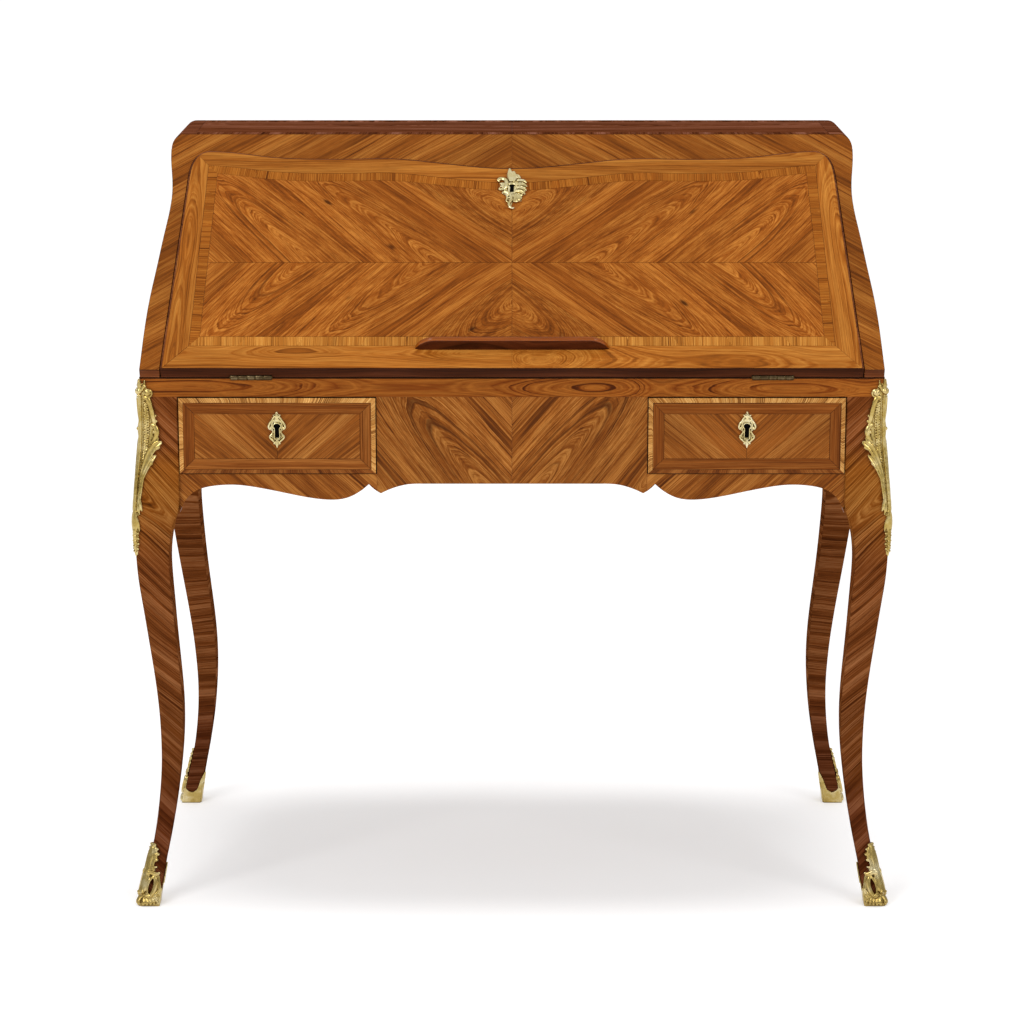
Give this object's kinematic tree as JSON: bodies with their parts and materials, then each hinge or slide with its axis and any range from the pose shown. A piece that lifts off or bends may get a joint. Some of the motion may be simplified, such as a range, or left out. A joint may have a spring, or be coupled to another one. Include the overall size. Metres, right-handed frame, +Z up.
{
  "type": "slant-front desk",
  "caption": "Slant-front writing desk on cabriole legs: hinged sloping lid with book rest, frieze drawers, shaped apron, veneered case and gilt corner mounts and feet.",
  "frame": {"origin": "on the floor under the middle of the desk", "axes": "+X to the desk's right as seen from the front, -Y towards the sitter, +Z up"},
  "size_m": [1.015, 0.495, 1.007],
  "materials": {
    "tulipwood_veneer": "french polished tulipwood veneer",
    "kingwood_edge": "polished dark hardwood",
    "oak_secondary": "waxed oak",
    "gilt_bronze": "chased and gilded bronze",
    "hinge_brass": "aged brass",
    "lock_iron": "dark forged iron",
    "writing_leather": "tooled leather"
  },
  "bodies": {
    "carcase": {"leg_front_left": "tulipwood_veneer", "leg_front_right": "tulipwood_veneer", "leg_rear_left": "tulipwood_veneer", "leg_rear_right": "tulipwood_veneer", "front_top_rail": "tulipwood_veneer", "front_apron_rail": "tulipwood_veneer", "front_centre_panel": "tulipwood_veneer", "side_frieze_left": "tulipwood_veneer", "side_frieze_right": "tulipwood_veneer", "back_frieze_rail": "oak_secondary", "drawer_partitions": "oak_secondary", "drawer_runners": "oak_secondary", "writing_bed": "tulipwood_veneer", "well_box": "oak_secondary", "side_panel_left": "tulipwood_veneer", "side_panel_right": "tulipwood_veneer", "back_panel": "oak_secondary", "top_board": "tulipwood_veneer", "upper_fascia": "tulipwood_veneer", "lid_stop_battens": "kingwood_edge", "unit_floor": "kingwood_edge", "unit_shelf": "kingwood_edge", "unit_lower_walls": "kingwood_edge", "pigeonhole_dividers": "kingwood_edge", "corner_mount_left": "gilt_bronze", "corner_mount_right": "gilt_bronze", "sabot_front_left": "gilt_bronze", "sabot_front_right": "gilt_bronze", "sabot_rear_left": "gilt_bronze", "sabot_rear_right": "gilt_bronze", "hinge_rail_leaves": "hinge_brass", "hinge_pins": "hinge_brass", "hinge_rail_screws": "hinge_brass"},
    "lid": {"lid_panel": "tulipwood_veneer", "lid_leather": "writing_leather", "lid_lock": "lock_iron", "lid_escutcheon": "gilt_bronze", "book_rest": "kingwood_edge", "hinge_lid_leaves": "hinge_brass", "hinge_lid_screws": "hinge_brass"},
    "lid_lock_bolt": {"lid_bolt": "lock_iron"},
    "drawer_left": {"drawer_left_front": "tulipwood_veneer", "drawer_left_sides_and_back": "oak_secondary", "drawer_left_bottom": "oak_secondary", "drawer_left_escutcheon": "gilt_bronze", "drawer_left_lock": "lock_iron"},
    "drawer_left_lock_bolt": {"drawer_left_bolt": "lock_iron"},
    "drawer_right": {"drawer_right_front": "tulipwood_veneer", "drawer_right_sides_and_back": "oak_secondary", "drawer_right_bottom": "oak_secondary", "drawer_right_escutcheon": "gilt_bronze", "drawer_right_lock": "lock_iron"},
    "drawer_right_lock_bolt": {"drawer_right_bolt": "lock_iron"},
    "well_slide_cover": {"well_cover": "tulipwood_veneer"},
    "small_drawer_left": {"small_drawer_left_front": "tulipwood_veneer", "small_drawer_left_tray": "oak_secondary", "small_drawer_left_knob": "gilt_bronze"},
    "small_drawer_right": {"small_drawer_right_front": "tulipwood_veneer", "small_drawer_right_tray": "oak_secondary", "small_drawer_right_knob": "gilt_bronze"}
  },
  "joints": [
    {"name": "lid_hinge", "type": "hinge", "parent": "carcase", "child": "lid", "pos_m": [0, -0.225, 0.719], "axis": [1, 0, 0], "range_deg": [0, 135]},
    {"name": "lid_bolt_slide", "type": "slide", "parent": "lid", "child": "lid_lock_bolt", "axis": [0, 0.7071, 0.7071], "range_m": [0, 0.008]},
    {"name": "drawer_left_slide", "type": "slide", "parent": "carcase", "child": "drawer_left", "axis": [0, -1, 0], "range_m": [0, 0.3]},
    {"name": "drawer_left_bolt_slide", "type": "slide", "parent": "drawer_left", "child": "drawer_left_lock_bolt", "axis": [0, 0, 1], "range_m": [0, 0.007]},
    {"name": "drawer_right_slide", "type": "slide", "parent": "carcase", "child": "drawer_right", "axis": [0, -1, 0], "range_m": [0, 0.3]},
    {"name": "drawer_right_bolt_slide", "type": "slide", "parent": "drawer_right", "child": "drawer_right_lock_bolt", "axis": [0, 0, 1], "range_m": [0, 0.007]},
    {"name": "well_cover_slide", "type": "slide", "parent": "carcase", "child": "well_slide_cover", "axis": [0, 1, 0], "range_m": [0, 0.11]},
    {"name": "small_drawer_left_slide", "type": "slide", "parent": "carcase", "child": "small_drawer_left", "axis": [0, -1, 0], "range_m": [0, 0.1]},
    {"name": "small_drawer_right_slide", "type": "slide", "parent": "carcase", "child": "small_drawer_right", "axis": [0, -1, 0], "range_m": [0, 0.1]}
  ]
}
